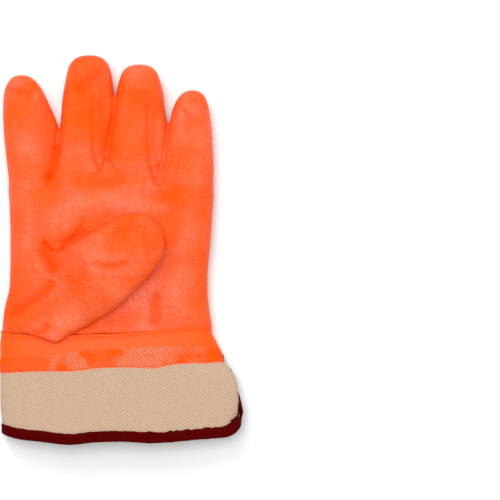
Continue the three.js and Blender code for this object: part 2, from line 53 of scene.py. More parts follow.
SHIFT = np.array([hand_low.x / MM - HAND_LEFT, hand_high.y / MM - HAND_TIP, 0.0])


def table(columns, *rows):
    """Table of named columns, from rows of numbers."""
    return {name: np.array(values, float) for name, values in zip(columns, zip(*rows))}


def line(*rows):
    """Table with one column: how far something reaches at each place."""
    return table(("at", "reach"), *rows)


def curve(rows, at, column="reach"):
    """Smooth curve through one column of a table, read at the places in at."""
    places, values = rows["at"], rows[column]
    slopes = np.gradient(values, places)
    at = np.clip(at, places[0], places[-1])
    i = np.clip(np.searchsorted(places, at) - 1, 0, len(places) - 2)
    step = places[i + 1] - places[i]
    t = (at - places[i]) / step
    return (
        values[i] * (1 + 2 * t) * (1 - t) ** 2
        + slopes[i] * step * t * (1 - t) ** 2
        + values[i + 1] * t * t * (3 - 2 * t)
        + slopes[i + 1] * step * t * t * (t - 1)
    )


def smoothstep(low, high, value):
    t = np.clip((value - low) / (high - low), 0, 1)
    return t * t * (3 - 2 * t)


def blend(a, b, share):
    return a + (b - a) * share


# Palm: how far it reaches to each side and up, at each distance from the wrist seam
PALM = table(
    ("at", "left", "right", "top"),
    (-8, -77.0, 72.6, 22.7),
    (0, -76.3, 71.6, 22.7),
    (9, -75.6, 70.0, 23.8),
    (17, -74.6, 68.6, 24.3),
    (30, -71.4, 67.6, 24.8),
    (45, -70.6, 67.9, 25.4),
    (65, -70.4, 69.8, 27.0),
    (86, -70.8, 71.0, 26.4),
    (100, -71.4, 71.7, 24.2),
    (112, -72.0, 72.0, 22.0),
)
PALM_SIDE_HEIGHT = 0.42
PALM_CROWN_POWER = 2.8
PALM_FLOOR_POWER = 3.6
FLAT_SINK = 1.4

# Line of the finger crotches, by place across the palm
CROTCH = line((-76, 104), (-39, 106), (-3, 109), (35, 103), (72, 101))
CROTCH_ROUNDING = 8
FINGER_BLEND = 4.0
CREASE_BLEND = (7.0, 2.0)
CREASE_REACH = (112.0, 146.0)
FINGER_ROOT = 17
ROOT_INSET = 3.0


# Fingers: both sides at each distance from the wrist seam. The last row is beyond the round
# end, which starts at cap and stops at tip.
def finger_shape(*rows, cap, tip):
    return {"rows": table(("at", "left", "right"), *rows), "cap": cap, "tip": tip}


INDEX_FINGER = finger_shape(
    (90, -71.2, -43.0), (106, -71.5, -41.6), (118, -72.8, -39.6), (128, -73.9, -37.8),
    (139, -74.9, -36.4), (146, -75.3, -37.4), (153, -75.5, -40.0), (161, -75.4, -43.6),
    (181, -74.0, -51.4),
    cap=160.0,
    tip=180.4,
)
MIDDLE_FINGER = finger_shape(
    (90, -43.0, -3.0), (108, -41.4, -2.8), (118, -39.6, -2.7), (128, -37.8, -2.1),
    (139, -36.2, -0.4), (146, -35.4, 1.0), (153, -34.8, 1.8), (161, -34.2, 2.7),
    (169, -33.2, 2.1), (178, -31.4, 0.8), (195, -29.6, -0.6),
    cap=177.0,
    tip=194.2,
)
RING_FINGER = finger_shape(
    (90, -3.0, 35.0), (107, -2.8, 34.8), (118, -2.7, 36.4), (128, -2.1, 38.2),
    (139, -0.4, 39.6), (146, 1.0, 39.8), (153, 1.8, 38.3), (161, 2.9, 37.2),
    (170, 4.2, 36.2), (177, 5.6, 34.6), (188, 5.8, 34.2),
    cap=170.0,
    tip=187.8,
)
LITTLE_FINGER = finger_shape(
    (90, 35.0, 71.2), (103, 34.8, 71.6), (118, 36.4, 71.8), (128, 38.2, 71.3),
    (139, 39.6, 70.8), (146, 40.8, 70.2), (153, 42.2, 69.2), (170, 46.4, 68.0),
    cap=150.0,
    tip=169.8,
)
FINGERS = (INDEX_FINGER, MIDDLE_FINGER, RING_FINGER, LITTLE_FINGER)
FINGER_THICK = 22.5
FINGER_POWER = 2.5
FINGER_CAP_POWER = 3.0
TIP_THINNING = 0.14
TIP_LIFT = 2.4

# Thumb, folded over the palm. lower and upper are how far it reaches to its wrist side and its
# finger side, thick is half its thickness, free is 0 where the thumb is part of the palm and 1
# where it lies loose on it, roll is how far its wrist side rises.
THUMB_ROOT = (-53.2, 9.1)
THUMB_LENGTH = 109.5
THUMB_ANGLE = math.radians(37.4)
THUMB = table(
    ("at", "lower", "upper", "thick", "free", "roll"),
    (-0.16, 21.0, 14.0, 7.0, 0.0, 9.0),
    (0.0, 22.6, 20.0, 9.0, 0.0, 10.0),
    (0.13, 23.6, 26.0, 9.8, 0.05, 9.0),
    (0.26, 26.2, 29.5, 10.2, 0.25, 6.0),
    (0.39, 27.8, 29.8, 10.0, 0.62, 3.0),
    (0.48, 28.0, 26.8, 9.8, 0.9, 1.0),
    (0.61, 26.6, 24.4, 9.4, 1.0, 0.0),
    (0.72, 25.2, 23.4, 9.2, 1.0, 0.0),
    (1.0, 22.4, 22.0, 8.8, 1.0, 0.0),
)
THUMB_CAP = 0.70
THUMB_CAP_POWER = 2.2
# The thumb's heel ends in a fold that overhangs the wrist seam, by place across
HEEL = line((-80, 3.0), (-62, 0.2), (-53, -2.0), (-45, -4.2), (-38, -8.2), (-30, -15.0))
HEEL_ROUNDING = 4.0
THUMB_INSET = 2.5
THUMB_ROOT_HEIGHT = 13.5
THUMB_POWER = 2.5
THUMB_REST = 0.4
THUMB_BLEND = 0.6
# The thumb's root flows into the palm. That fades out along it, across it and to the left.
ROOT_BLEND = 11.0
ROOT_ALONG = (0.30, 0.44)
ROOT_ACROSS = (-10.0, 6.0)
ROOT_LEFT = (-80.0, -66.0)

# The wrist seam wanders up and down: on the palm face and on the back, by place across
SEAM_PALM = line((-78, 0.5), (-50, -1.5), (-10, -0.6), (20, 0.4), (50, 3.4), (73, 5.6))
SEAM_BACK = line((-78, 2.0), (-50, 5.0), (73, 5.6))
# Heights between which the seam goes over from the back's line to the palm's
SEAM_TURN = (5.0, 14.0)

SHELL_WALL = 2.8
GRID_STEP = 0.98
GRID_STEP_UP = 1.0
LINING_STEP = 2.1


def seam_reach(x, z):
    """Where the wrist seam is, on the palm face or the back."""
    on_palm = smoothstep(*SEAM_TURN, z)
    return blend(curve(SEAM_BACK, x), curve(SEAM_PALM, x), on_palm)


def smooth_min(a, b, reach):
    """Union of two fields, rounded where they meet."""
    share = np.clip(0.5 + 0.5 * (b - a) / reach, 0, 1)
    return blend(b, a, share) - reach * share * (1 - share)


FIELD_REACH = 14.0
FLAT_GRADIENT = 1e-4


def to_distance(field, steps):
    """Rough distance to a field's zero surface, from its value and its slope."""
    slopes = np.gradient(field, *steps)
    length = np.sqrt(sum(s * s for s in slopes)) + FLAT_GRADIENT
    return np.clip(field / length, -FIELD_REACH, FIELD_REACH)


def palm_section(x, y):
    """Place across the palm, from -1 to 1, the height of its sides and the height of its top."""
    left, right, top = (curve(PALM, y, column) for column in ("left", "right", "top"))
    return (2 * x - left - right) / (right - left), PALM_SIDE_HEIGHT * top, top


def palm_top(x, y):
    """Height of the palm's upper face."""
    across, side, top = palm_section(x, y)
    across = np.clip(across, -1, 1)
    return side + (top - side) * (1 - across * across) ** (1 / PALM_CROWN_POWER)


def palm_field(x, y, z):
    across, side, top = palm_section(x, y)
    rise = np.maximum(z - side, 0) / (top - side)
    fall = np.maximum(side - z, 0) / (side + FLAT_SINK)
    return np.sqrt(across**2 + rise**PALM_CROWN_POWER + fall**PALM_FLOOR_POWER) - 1


def finger_field(finger, x, y, z):
    rows, tip, cap = finger["rows"], finger["tip"], finger["cap"]
    start = curve(CROTCH, (rows["left"][1] + rows["right"][1]) / 2)
    sunk = ROOT_INSET * np.clip((start - y) / FINGER_ROOT, 0, 1)
    left, right = curve(rows, y, "left") + sunk, curve(rows, y, "right") - sunk
    share = np.clip((y - start) / (tip - start), 0, 1)
    half = FINGER_THICK / 2 * (1 - TIP_THINNING * share**2) - sunk
    middle = FINGER_THICK / 2 + TIP_LIFT * share**2
    across = np.abs(2 * x - left - right) / (right - left)
    rise = np.abs(z - middle) / half
    end = np.maximum(y - cap, 0) / (tip - cap)
    return (across**FINGER_POWER + rise**FINGER_POWER + end**FINGER_CAP_POWER) ** (1 / FINGER_POWER) - 1


def thumb_place(x, y):
    """Place along the thumb, from 0 to 1, and across it in millimetres, wrist side positive."""
    dx, dy = x - THUMB_ROOT[0], y - THUMB_ROOT[1]
    along = (dx * math.cos(THUMB_ANGLE) + dy * math.sin(THUMB_ANGLE)) / THUMB_LENGTH
    across = dx * math.sin(THUMB_ANGLE) - dy * math.cos(THUMB_ANGLE)
    return along, across


def thumb_height(along):
    """Height of the thumb's middle line, which comes out of the palm and lies down on it."""
    x = THUMB_ROOT[0] + along * THUMB_LENGTH * math.cos(THUMB_ANGLE)
    y = THUMB_ROOT[1] + along * THUMB_LENGTH * math.sin(THUMB_ANGLE)
    resting = palm_top(x, y) + THUMB_REST + curve(THUMB, along, "thick")
    return blend(THUMB_ROOT_HEIGHT, resting, np.clip(curve(THUMB, along, "free"), 0, 1))


def thumb_field(x, y, z):
    along, across = thumb_place(x, y)
    width = np.where(across > 0, curve(THUMB, along, "lower"), curve(THUMB, along, "upper"))
    thick = curve(THUMB, along, "thick")
    middle = thumb_height(along) + curve(THUMB, along, "roll") * np.clip(across / width, -1, 1)
    tip = np.maximum(along - THUMB_CAP, 0) / (1 - THUMB_CAP)
    side = np.abs(across) / width
    rise = np.abs(z - middle) / thick
    total = side**THUMB_POWER + rise**THUMB_POWER + tip**THUMB_CAP_POWER
    return total ** (1 / THUMB_POWER) - 1


def hand_field(xs, ys, zs, steps, open_wrist):
    """Distance to the hand's surface on a grid: below 0 inside it."""
    x, y, z = xs[:, None, None], ys[None, :, None], zs[None, None, :]
    palm = to_distance(palm_field(x, y, z), steps)
    palm = -smooth_min(-palm, curve(CROTCH, x) - y, CROTCH_ROUNDING)
    if not open_wrist:
        palm = np.maximum(palm, seam_reach(x, z) - y)
    fingers = None
    crease = blend(*CREASE_BLEND, smoothstep(*CREASE_REACH, y))
    for finger in FINGERS:
        one = to_distance(finger_field(finger, x, y, z), steps)
        root = curve(CROTCH, np.mean(finger["rows"]["left"])) - FINGER_ROOT
        one = np.maximum(one, root - y)
        fingers = one if fingers is None else smooth_min(fingers, one, crease)
    body = smooth_min(palm, fingers, FINGER_BLEND)
    thumb = to_distance(thumb_field(x, y, z), steps)
    for past in (curve(HEEL, x) - y, curve(PALM, y, "left") + THUMB_INSET - x):
        thumb = -smooth_min(-thumb, -past, HEEL_ROUNDING)
    along, across = thumb_place(x, y)
    root_side = (1 - smoothstep(*ROOT_ALONG, along)) * (1 - smoothstep(*ROOT_ACROSS, across))
    root_side = root_side * smoothstep(*ROOT_LEFT, x)
    return smooth_min(body, thumb, THUMB_BLEND + ROOT_BLEND * root_side)


def surface_net(field, origin, steps):
    """Closed quad mesh of a field's zero surface."""
    cells = tuple(n - 1 for n in field.shape)

    def corner(dx, dy, dz):
        return field[dx : dx + cells[0], dy : dy + cells[1], dz : dz + cells[2]]

    total = np.zeros(cells + (3,))
    count = np.zeros(cells)
    for axis in range(3):
        others = [a for a in range(3) if a != axis]
        for first, second in ((0, 0), (0, 1), (1, 0), (1, 1)):
            start = [0, 0, 0]
            start[others[0]], start[others[1]] = first, second
            stop = list(start)
            stop[axis] = 1
            a, b = corner(*start), corner(*stop)
            crossed = (a < 0) != (b < 0)
            gap = np.where(crossed, a - b, 1.0)
            count += crossed
            for k in range(3):
                place = np.where(crossed, a / gap, 0.0) if k == axis else start[k] * crossed
                total[..., k] += place
    used = count > 0
    number = np.full(cells, -1)
    number[used] = np.arange(used.sum())
    points = total[used] / count[used][:, None] + np.argwhere(used)
    quads = []
    inside = field < 0
    for axis in range(3):
        u, v = (axis + 1) % 3, (axis + 2) % 3
        low = [slice(None)] * 3
        high = [slice(None)] * 3
        low[axis], high[axis] = slice(0, -1), slice(1, None)
        a, b = inside[tuple(low)], inside[tuple(high)]
        for leaving in (True, False):
            edges = np.argwhere((a & ~b) if leaving else (b & ~a))
            ring = []
            for du, dv in ((0, 0), (1, 0), (1, 1), (0, 1)):
                place = edges.copy()
                place[:, u] -= 1 - du
                place[:, v] -= 1 - dv
                ring.append(number[tuple(place.T)])
            quads.append(np.stack(ring if leaving else ring[::-1], axis=1))
    return points * np.array(steps) + np.array(origin), np.concatenate(quads)


def relax(points, quads, passes, share):
    """Evens a mesh out by moving each point towards its neighbours."""
    a = quads.ravel()
    b = np.roll(quads, -1, axis=1).ravel()
    size = len(points)
    count = np.bincount(a, minlength=size) + np.bincount(b, minlength=size)
    for _ in range(passes):
        total = [np.bincount(a, side[b], size) + np.bincount(b, side[a], size) for side in points.T]
        points = blend(points, np.stack(total, axis=1) / count[:, None], share)
    return points


def point_normals(points, quads):
    corners = points[quads]
    faces = np.cross(corners[:, 2] - corners[:, 0], corners[:, 3] - corners[:, 1])
    normals = np.zeros_like(points)
    for k in range(4):
        for axis in range(3):
            normals[:, axis] += np.bincount(quads[:, k], faces[:, axis], len(points))
    return normals / np.maximum(np.linalg.norm(normals, axis=1), 1e-9)[:, None]


# Dents (depth above 0) and ridges (below 0) of the palm face, as lines across it.
# reach is how far each one spreads to both sides. A groove has a narrow bottom.
def stroke(depth, reach, *path, sharp=False):
    return {"depth": depth, "reach": reach, "path": np.array(path, float), "sharp": sharp}


def groove(depth, reach, *path):
    return stroke(depth, reach, *path, sharp=True)


# Grooves between the fingers
CREASE_STROKES = (
    groove(1.0, 2.6, (-37.0, 144), (-38.0, 128), (-40.0, 116), (-42.5, 108)),
    groove(0.8, 2.4, (1.2, 150), (-1.4, 136), (-3.2, 122)),
    groove(0.8, 2.4, (40.0, 144), (38.2, 128), (35.6, 114)),
)
PALM_FACE = (
    # Index finger
    stroke(-0.7, 5.0, (-66, 172.5), (-57, 172)),
    stroke(1.2, 5.5, (-70, 168.5), (-62, 166), (-56, 165)),
    groove(0.35, 2.2, (-52.5, 172), (-51, 150), (-49.7, 116)),
    stroke(0.9, 9.0, (-46, 158), (-43, 140), (-43.5, 122)),
    groove(1.8, 5.0, (-37, 130), (-39.2, 115), (-42.7, 108.5)),
    stroke(1.2, 7.5, (-41.5, 106), (-40.5, 104)),
    stroke(-0.5, 5.0, (-47, 107), (-46, 100)),
    # Middle finger
    stroke(-0.9, 6.0, (-28, 172), (-22, 179), (-12, 184)),
    stroke(1.4, 7.0, (-20, 169), (-13, 173.5), (-7, 178.5)),
    groove(1.5, 3.4, (-12, 166), (-12.3, 140), (-11.0, 124), (-8.8, 118), (-5.8, 113.5)),
    stroke(1.1, 7.0, (-6, 158), (-6.5, 140), (-6.5, 124)),
    groove(1.6, 3.5, (-2.5, 122), (-4.8, 116.2)),
    stroke(0.9, 8.0, (-4, 170), (-6, 158)),
    stroke(-0.9, 3.0, (-10.5, 112.5), (-5, 110.2), (0, 112.5)),
    stroke(1.3, 7.5, (-11, 107), (-3, 105.8), (5, 107)),
    # Ring finger
    stroke(-0.9, 6.0, (7.5, 166), (12, 173), (20, 178.5)),
    stroke(1.4, 8.0, (20, 164), (26, 161), (32, 157)),
    groove(1.4, 3.4, (26.4, 158), (26, 136), (27.6, 117), (31, 108.5)),
    stroke(1.0, 6.0, (31, 150), (30.5, 130), (30.5, 116)),
    groove(1.6, 3.5, (34.5, 118), (33.5, 108), (32.8, 106)),
    stroke(-0.9, 3.0, (28.5, 103.5), (33.5, 101.5), (38.5, 103.5)),
    stroke(1.3, 7.5, (26, 98.5), (36, 96.8), (46, 98.8)),
    # Little finger
    stroke(-0.8, 4.0, (50.4, 161), (55.5, 154.5)),
    stroke(1.1, 5.0, (52, 152), (56.5, 146)),
    groove(0.35, 2.0, (57, 139.6), (66, 139)),
    groove(0.35, 2.2, (46.2, 132), (46.5, 114)),
    stroke(0.8, 6.0, (59, 164), (66, 158)),
    *CREASE_STROKES,
    # Palm
    groove(2.2, 3.2, (-46.0, 62.5), (-42.7, 59.4), (-37.8, 57.4), (-32.5, 59.6)),
    stroke(1.7, 7.0, (-33.0, 61), (-28.0, 65), (-20.0, 68)),
    stroke(-1.3, 4.0, (-21.0, 77.5), (-25, 72.5), (-30, 66)),
    stroke(1.0, 6.0, (-16, 80), (-13, 83)),
    stroke(2.6, 10.0, (-46, 56), (-42, 50), (-40, 46)),
    stroke(-0.8, 4.0, (-52, 58), (-53, 46)),
    stroke(0.8, 5.0, (-38, 66), (-37, 74)),
    stroke(1.9, 6.5, (-68, 14), (-57, 21), (-46, 28), (-41.5, 34)),
    stroke(-1.2, 8.0, (-60, 10), (-50, 17), (-42, 24)),
    stroke(1.9, 6.5, (32.5, 24), (31.5, 7)),
    groove(0.7, 2.4, (38, 17.6), (62, 17)),
    stroke(-0.8, 9.0, (-62, 62), (-60, 80), (-50, 90)),
    stroke(1.0, 12.0, (-52, 66), (-50, 78)),
    stroke(-0.6, 10.0, (-20, 93), (6, 92), (28, 88)),
    stroke(0.7, 8.0, (42, 60), (44, 40)),
    # Thumb
    stroke(1.1, 4.0, (-10, 47.8), (-4, 45.6), (5, 46.2), (12, 47.8)),
    stroke(-0.7, 5.0, (-8, 52.5), (2, 51), (10, 52)),
    stroke(-0.7, 2.6, (0.7, 75), (13.3, 79.2), (23.8, 75.6), (29.4, 69), (31, 61)),
    stroke(1.2, 4.2, (4.9, 70.8), (16.8, 74.2), (23.8, 70.7), (27.3, 64), (28, 56)),
    stroke(-0.8, 8.0, (6, 62), (14, 64), (20, 58)),
    stroke(0.8, 9.0, (-20, 50), (-12, 60)),
    stroke(0.6, 5.0, (-42, 4), (-36, 0)),
    stroke(1.4, 3.4, (-53, -0.5), (-47.5, 1.2), (-44.5, 5.5)),
    stroke(-0.8, 4.5, (-61, 5.5), (-51, 5.0)),
)

# Seam grooves and folds of the back
BACK_FACE = (
    stroke(1.3, 4.5, (47, 112), (42.7, 84), (44.1, 62), (43.4, 50), (44.8, 9)),
    stroke(1.3, 4.5, (14.7, 114), (13.3, 90), (10.5, 65), (11.9, 9)),
    stroke(1.3, 4.5, (-22, 110), (-22.4, 83), (-25.9, 65), (-25.9, 30), (-27.3, 9)),
    stroke(2.2, 7.0, (3.5, 100), (-8.4, 83), (-16.8, 69), (-18.9, 58)),
    stroke(1.6, 7.0, (66, 86), (54.6, 72), (49, 58)),
    stroke(1.6, 8.0, (-46.9, 47.6), (-33, 16)),
)


def path_distance(x, y, path):
    nearest = np.full(x.shape, 1e9)
    for (x1, y1), (x2, y2) in zip(path[:-1], path[1:]):
        dx, dy = x2 - x1, y2 - y1
        t = np.clip(((x - x1) * dx + (y - y1) * dy) / (dx * dx + dy * dy), 0, 1)
        nearest = np.minimum(nearest, np.hypot(x - x1 - t * dx, y - y1 - t * dy))
    return nearest


def stroke_depth(strokes, x, y):
    """How far the strokes press the surface in at each point."""
    depth = np.zeros(x.shape)
    for one in strokes:
        ratio = np.clip(path_distance(x, y, one["path"]) / one["reach"], 0, 1)
        shape = (1 - ratio) ** 2 if one["sharp"] else (1 - ratio * ratio) ** 2
        depth += one["depth"] * shape
    return depth


FACE_TURN = 1.4


def press_strokes(points, quads):
    """Presses the folds into the palm face and the back."""
    normals = point_normals(points, quads)
    x, y = points[:, 0], points[:, 1]
    up = np.clip(FACE_TURN * normals[:, 2], 0, 1)
    down = np.clip(-FACE_TURN * normals[:, 2], 0, 1)
    pressed = points.copy()
    pressed[:, 2] += down * stroke_depth(BACK_FACE, x, y) - up * stroke_depth(PALM_FACE, x, y)
    return pressed


HAND_BOX = ((-84, -32, -4), (80, 202, 52))
HOLLOW_START = -6.0


def hand_mesh(steps, level, open_wrist):
    """Points and quads of the hand's surface, or of one at a level inside it."""
    xs, ys, zs = (np.arange(low, high + step, step) for low, high, step in zip(*HAND_BOX, steps))
    field = hand_field(xs, ys, zs, steps, open_wrist) + level
    field = np.maximum(field, level - zs)
    if open_wrist:
        field = np.maximum(field, HOLLOW_START - ys[:, None])
    else:
        field = np.maximum(field, -band_room(xs, ys, zs, steps))
    return surface_net(field, (xs[0], ys[0], zs[0]), steps)


# Cuff: how much wider it gets below the wrist, at each share of its length
CUFF_LENGTH = 75.5
CUFF = table(
    ("at", "left", "palm_edge", "back_edge", "tuck"),
    (0.0, 0.0, -1.6, -1.6, 0.0),
    (0.12, 0.8, 3.2, 3.2, 0.0),
    (0.23, 0.8, 8.0, 7.3, 0.8),
    (0.28, 1.6, 14.2, 7.0, 7.0),
    (0.34, 1.8, 20.0, 6.5, 12.0),
    (0.45, 1.8, 24.4, 5.7, 13.0),
    (0.57, 1.8, 24.6, 5.2, 10.9),
    (0.68, 1.6, 24.0, 4.7, 7.3),
    (0.82, 0.5, 22.4, 4.2, 3.4),
    (1.0, -0.5, 19.9, 3.6, 0.0),
)
TUCK_REACH = 0.6
WRIST_LEFT = -77.0
WRIST_RIGHT = 72.0
WRIST_TOP = 22.7
CUFF_TOP = 27.0
WELT_HEIGHT = 0.35
CUFF_FOLD_HEIGHT = 0.42
PALM_EDGE_HEIGHT = 0.46
PALM_RISE = 0.72
CANVAS_WALL = 1.6
COAT_GAP = 0.3
COAT_WALL = 1.0
COVERED = CANVAS_WALL / 2 + COAT_GAP + COAT_WALL
SLIT_START = 17.0
SLIT_OPENING = 16.0
BACK_SHORTFALL = 8.0
PALM_CORNER = 12.0
BACK_CORNER = 24.0
TURN = 2 * math.pi

# Length of the palm panel by place across it
HEM = line(
    (-77, 70.0), (-68, 72.2), (-50, 74.2), (-29, 76.2), (-13, 74.6),
    (6, 74.0), (30, 75.0), (62, 72.6), (92, 70.6),
)
# Lower edge of the coat, and the line where its matte part turns glossy
DIP_PALM = line(
    (-77, 27.4), (-57, 26.0), (-30, 25.4), (-8, 23.2), (6, 22.8),
    (27, 23.0), (36, 21.2), (62, 20.0), (90, 19.0),
)
DIP_BACK = line((-77, 26.8), (-40, 24.0), (0, 21.6), (40, 19.6), (72, 18.6))
GLOSS_PALM = line(
    (-77, 17.4), (-64, 16.8), (-39, 15.2), (-22, 12.0),
    (6, 10.6), (27, 9.4), (62, 9.6), (80, 9.8),
)
# How much further than the wrist the hem and the coat's edge reach on the slit side
HEM_OVERHANG = 19.0
HEM_WIDENING = 20.0
DIP_OVERHANG = 6.0
# Angles between which the palm's lines go over into the back's
HEM_FOLD = (0.85 * math.pi, 1.25 * math.pi)
DIP_FOLD = (0.93 * math.pi, 1.07 * math.pi)
SLIT_SIDE = 1.5 * math.pi
BACK_FALL = (0.55, 2.0)


def cuff_middle(angle, distance):
    """Middle surface of the canvas. angle 0 is the palm panel's free edge, a half turn the
    fold on the thumb side, and a full turn the back panel's free edge."""
    along = distance / CUFF_LENGTH
    opening = smoothstep(SLIT_START, SLIT_START + SLIT_OPENING, distance)
    on_palm = angle < math.pi
    is_free = on_palm & (distance > SLIT_START)
    edge = np.where(is_free, curve(CUFF, along, "palm_edge"), curve(CUFF, along, "back_edge"))
    left = WRIST_LEFT - curve(CUFF, along, "left") + COVERED
    right = WRIST_RIGHT + edge - COVERED
    crown = blend(WRIST_TOP, CUFF_TOP, along) - COVERED
    fold = CUFF_FOLD_HEIGHT * crown
    palm_edge = blend(fold, PALM_EDGE_HEIGHT * crown, opening)
    back_edge = blend(fold, COVERED + COAT_GAP, opening)
    cosine, lift = np.cos(angle), np.abs(np.sin(angle))
    slit_side = cosine > 0
    side = np.where(slit_side, np.where(on_palm, palm_edge, back_edge), fold)
    near_edge = np.clip(1 - angle / TUCK_REACH, 0, 1) ** 2 * curve(CUFF, along, "tuck")
    turned = np.where(is_free, near_edge, 0)
    x = (left + right) / 2 + (right - left) / 2 * cosine - turned
    open_share = np.where(slit_side, np.minimum(1, opening * 3), 0)
    rise = lift**PALM_RISE
    fall = lift ** blend(*BACK_FALL, open_share)
    upper = side + (crown - side) * rise
    lower = np.maximum(COVERED, side - (side - COVERED + FLAT_SINK) * fall)
    return np.stack([x, -distance, np.where(on_palm, upper, lower)], axis=-1)


def unit(vectors):
    return vectors / np.linalg.norm(vectors, axis=-1, keepdims=True)


NORMAL_TURN = 0.05
NORMAL_STEP = 0.02


def cuff_normal(angle, distance):
    is_open = distance > SLIT_START
    before, after = (
        np.where(is_open, np.clip(turned, 0, TURN), turned % TURN)
        for turned in (angle - NORMAL_TURN, angle + NORMAL_TURN)
    )
    around = cuff_middle(after, distance) - cuff_middle(before, distance)
    down = cuff_middle(angle, distance + NORMAL_STEP) - cuff_middle(angle, distance - NORMAL_STEP)
    normal = np.cross(around, down)
    normal[..., 1] = 0
    return unit(normal)


def hem_distance(angle):
    """Length of the cuff at one place round it, with the free corners rounded off."""
    on_palm = angle < math.pi
    across = (1 - np.cos(angle)) / 2
    x = blend(WRIST_RIGHT + HEM_OVERHANG, WRIST_LEFT, across)
    back_share = smoothstep(*HEM_FOLD, angle)
    full = blend(curve(HEM, x), CUFF_LENGTH - BACK_SHORTFALL, back_share)
    radius = np.where(on_palm, PALM_CORNER, BACK_CORNER)
    from_edge = across * (WRIST_RIGHT - WRIST_LEFT + HEM_WIDENING)
    inset = np.clip(radius - from_edge, 0, radius)
    rounded = (np.cos(angle) > 0) * (radius - np.sqrt(radius**2 - inset**2))
    return full - rounded


def edge_place(angle):
    """Place across the cuff that an angle round it stands for."""
    right = WRIST_RIGHT + DIP_OVERHANG * (angle < math.pi)
    return blend(right, WRIST_LEFT, (1 - np.cos(angle)) / 2)


def dip_distance(angle):
    """Lower edge of the coat, at one place round the cuff."""
    x = edge_place(angle)
    share = smoothstep(*DIP_FOLD, angle)
    return blend(curve(DIP_PALM, x), curve(DIP_BACK, x), share)


def seam_distance(angle):
    """Wrist seam at one place round the cuff, as a distance below y = 0."""
    x = edge_place(angle)
    share = smoothstep(*DIP_FOLD, angle)
    share = np.maximum(share * (angle < SLIT_SIDE), angle >= SLIT_SIDE)
    return -blend(curve(SEAM_PALM, x), curve(SEAM_BACK, x), share)


def band_room(xs, ys, zs, steps):
    """Room that the coated band takes under the hand, as a field: below 0 inside it."""
    x, y, z = xs[:, None, None], ys[None, :, None], zs[None, None, :]
    along = np.clip(-y / CUFF_LENGTH, 0, 1)
    left = WRIST_LEFT - curve(CUFF, along, "left") - COAT_GAP
    right = WRIST_RIGHT + curve(CUFF, along, "back_edge") + COAT_GAP
    crown = blend(WRIST_TOP, CUFF_TOP, along) + WELT_HEIGHT + COAT_GAP
    side = CUFF_FOLD_HEIGHT * crown
    across = (2 * x - left - right) / (right - left)
    rise = np.maximum(z - side, 0) / (crown - side)
    room = to_distance(np.sqrt(across**2 + rise**PALM_CROWN_POWER) - 1, steps)
    return np.maximum(room, y - seam_reach(x, z) + COAT_GAP / 2)


def new_object(name, data):
    made = bpy.data.objects.new(name, data)
    bpy.context.scene.collection.objects.link(made)
    return made


def make_object(name, points, faces, materials, face_material=None):
    """Mesh object from points in the glove's millimetres, with its origin at the frame's."""
    mesh = bpy.data.meshes.new(name)
    placed = (np.asarray(points, float) + SHIFT) * MM
    mesh.from_pydata(placed.tolist(), [], [list(face) for face in faces])
    for material in materials:
        mesh.materials.append(material)
    if face_material is not None:
        mesh.polygons.foreach_set("material_index", np.asarray(face_material, np.int32))
    mesh.shade_smooth()
    mesh.update()
    return new_object(name, mesh)


def mesh_points(made):
    """Points of an object's mesh, in the glove's millimetres."""
    co = np.zeros(len(made.data.vertices) * 3)
    made.data.vertices.foreach_get("co", co)
    return co.reshape(-1, 3) / MM - SHIFT


def set_mask(made, name, values):
    """Keeps a number on each point of a mesh, for its material to read."""
    attribute = made.data.attributes.new(name, "FLOAT", "POINT")
    attribute.data.foreach_set("value", np.asarray(values, np.float32))


def cut_out(made, tool):
    """Cuts one object out of another and applies the cut."""
    cut = made.modifiers.new("cut", "BOOLEAN")
    cut.operation = "DIFFERENCE"
    cut.solver = "MANIFOLD"
    cut.object = tool
    graph = bpy.context.evaluated_depsgraph_get()
    graph.update()
    result = bpy.data.meshes.new_from_object(made.evaluated_get(graph))
    made.modifiers.clear()
    old = made.data
    made.data = result
    bpy.data.meshes.remove(old)
    bpy.data.objects.remove(tool)


# Node helpers for the materials
def add(tree, kind, inputs=None, **settings):
    node = tree.nodes.new(kind)
    for key, value in settings.items():
        setattr(node, key, value)
    for key, value in (inputs or {}).items():
        if isinstance(value, bpy.types.NodeSocket):
            tree.links.new(value, node.inputs[key])
        else:
            node.inputs[key].default_value = value
    return node


def maths(tree, operation, a, b=0.0):
    return add(tree, "ShaderNodeMath", {0: a, 1: b}, operation=operation).outputs[0]


def times(tree, a, b):
    return maths(tree, "MULTIPLY", a, b)


def mix_colour(tree, share, a, b):
    return add(tree, "ShaderNodeMix", {0: share, 6: a, 7: b}, data_type="RGBA").outputs[2]


def noise(tree, place, scale, detail=2.0, roughness=0.5):
    inputs = {"Vector": place, "Scale": scale, "Detail": detail, "Roughness": roughness}
    return add(tree, "ShaderNodeTexNoise", inputs).outputs["Fac"]


def remap(tree, value, low, high, to_low=0.0, to_high=1.0):
    inputs = {"Value": value, "From Min": low, "From Max": high, "To Min": to_low, "To Max": to_high}
    return add(tree, "ShaderNodeMapRange", inputs).outputs["Result"]


def bump(tree, height, distance, strength=1.0, below=None):
    inputs = {"Height": height, "Distance": distance, "Strength": strength}
    if below is not None:
        inputs["Normal"] = below
    return add(tree, "ShaderNodeBump", inputs).outputs["Normal"]


def new_material(name):
    material = bpy.data.materials.new(name)
    material.use_nodes = True
    tree = material.node_tree
    shader = tree.nodes["Principled BSDF"]
    place = add(tree, "ShaderNodeTexCoord").outputs["Object"]
    return material, tree, shader, place


def link(value, shader, socket, plain=None):
    """Links a value to a shader's socket, and may keep a plain one for viewers that have no maps."""
    if plain is not None:
        shader.inputs[socket].default_value = plain
    shader.id_data.links.new(value, shader.inputs[socket])


